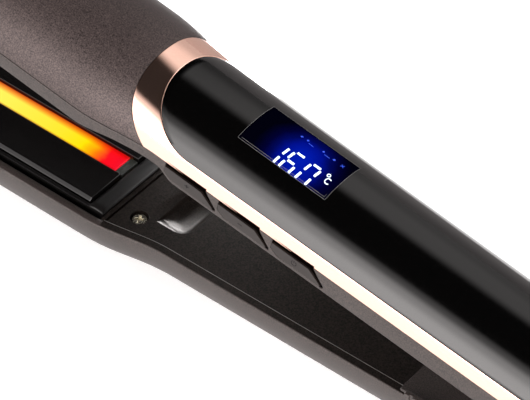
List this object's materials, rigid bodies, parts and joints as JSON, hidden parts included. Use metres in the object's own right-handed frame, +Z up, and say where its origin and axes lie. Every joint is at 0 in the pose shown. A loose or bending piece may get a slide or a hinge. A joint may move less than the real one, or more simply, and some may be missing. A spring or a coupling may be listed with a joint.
{
  "type": "hair styling iron",
  "caption": "Two-arm hair styling iron with sprung heating plates, a glowing strip, a display window, side buttons, a travel lock and a swivelling cord outlet.",
  "frame": {"origin": "on the resting surface, midway along the tool and on its centre line, at the bottom centre of the bounding box", "axes": "+Z up, +X from the plate tip towards the hinge and the cord outlet, -Y is the side with the buttons"},
  "size_m": [0.312, 0.0404, 0.0801],
  "materials": {
    "barrel_paint": "matte metallic with fine sparkle",
    "grey_shell": "satin warm grey",
    "tail_paint": "satin warm grey",
    "rose_gold": "satin mirror rose gold",
    "black_gloss": "high gloss black",
    "display": "lit blue display",
    "inner_cover": "fine matte",
    "black_plastic": "matte",
    "plate": "polished dark glaze",
    "ir_glow": "glowing strip",
    "steel": "bare steel",
    "screw": "yellow zinc plated steel",
    "board": "circuit board",
    "heater": "fired ceramic",
    "insulator": "amber film",
    "sensor": "sealed component",
    "wire": "heat resistant sleeve"
  },
  "bodies": {
    "lower_arm": {"lower_shell": "grey_shell", "lower_inner_cover": "inner_cover", "lower_cover_screws": "screw", "lower_screw_posts": "black_plastic", "lower_plate_carrier": "black_plastic", "lower_plate_springs": "steel", "power_board": "board", "power_capacitor": "insulator", "power_triac": "black_plastic", "lower_leads": "wire", "hinge_bracket": "steel", "bracket_screws": "screw", "hinge_pin": "steel", "pin_rings": "steel", "jaw_spring": "steel", "tail_housing": "tail_paint", "rear_cap": "grey_shell", "lower_tip_cover": "inner_cover"},
    "upper_arm": {"barrel_shell": "barrel_paint", "upper_frame": "grey_shell", "gold_band": "rose_gold", "gloss_panel": "black_gloss", "display_lens": "black_gloss", "display_module": "display", "display_backlight": "display", "main_board": "board", "board_screws": "screw", "button_board": "board", "tact_switches": "black_plastic", "upper_inner_cover": "inner_cover", "upper_cover_screws": "screw", "upper_plate_carrier": "black_plastic", "upper_plate_springs": "steel", "upper_leads": "wire", "hinge_ears": "steel", "lock_catch": "steel", "upper_tip_cover": "inner_cover", "grip_end_cap": "black_gloss"},
    "lower_plate_unit": {"lower_plate": "plate", "ir_window": "ir_glow", "ir_end_block": "black_plastic", "ir_emitter": "ir_glow", "ir_reflector": "steel", "lower_heaters": "heater", "lower_insulator": "insulator", "lower_clamp": "steel", "lower_thermal_fuse": "sensor", "lower_temp_sensor": "sensor"},
    "upper_plate_unit": {"upper_plate": "plate", "upper_heater": "heater", "upper_insulator": "insulator", "upper_clamp": "steel", "upper_thermal_fuse": "sensor", "upper_temp_sensor": "sensor"},
    "plus_key": {"plus_button": "grey_shell"},
    "minus_key": {"minus_button": "grey_shell"},
    "power_key": {"power_button": "grey_shell"},
    "lock": {"lock_slider": "grey_shell"},
    "swivel": {"cord_swivel": "black_plastic", "swivel_clip": "steel"}
  },
  "joints": [
    {"name": "jaw_hinge", "type": "hinge", "parent": "lower_arm", "child": "upper_arm", "pos_m": [0.134, 0, 0.019], "axis": [0, -1, 0], "range_deg": [0, 9.14], "stiffness_Nm_per_rad": 2, "springref_deg": -20.05, "deforming": ["jaw_spring"]},
    {"name": "lower_plate_float", "type": "slide", "parent": "lower_arm", "child": "lower_plate_unit", "axis": [0, 0, -1], "range_m": [0, 0.001], "stiffness_N_per_m": 3000, "springref_m": -0.001, "deforming": ["lower_plate_springs"]},
    {"name": "upper_plate_float", "type": "slide", "parent": "upper_arm", "child": "upper_plate_unit", "axis": [0.1588, 0, 0.9873], "range_m": [0, 0.001], "stiffness_N_per_m": 3000, "springref_m": -0.001, "deforming": ["upper_plate_springs"]},
    {"name": "plus_press", "type": "slide", "parent": "upper_arm", "child": "plus_key", "axis": [0, 1, 0], "range_m": [0, 0.0006], "stiffness_N_per_m": 400, "springref_m": -0.0005},
    {"name": "minus_press", "type": "slide", "parent": "upper_arm", "child": "minus_key", "axis": [0, 1, 0], "range_m": [0, 0.0006], "stiffness_N_per_m": 400, "springref_m": -0.0005},
    {"name": "power_press", "type": "slide", "parent": "upper_arm", "child": "power_key", "axis": [0, 1, 0], "range_m": [0, 0.0006], "stiffness_N_per_m": 400, "springref_m": -0.0005},
    {"name": "lock_slide", "type": "slide", "parent": "lower_arm", "child": "lock", "axis": [1, 0, 0], "range_m": [0, 0.005]},
    {"name": "swivel_turn", "type": "hinge", "parent": "lower_arm", "child": "swivel", "pos_m": [0.15, 0, 0.0175], "axis": [1, 0, 0], "continuous": true}
  ]
}
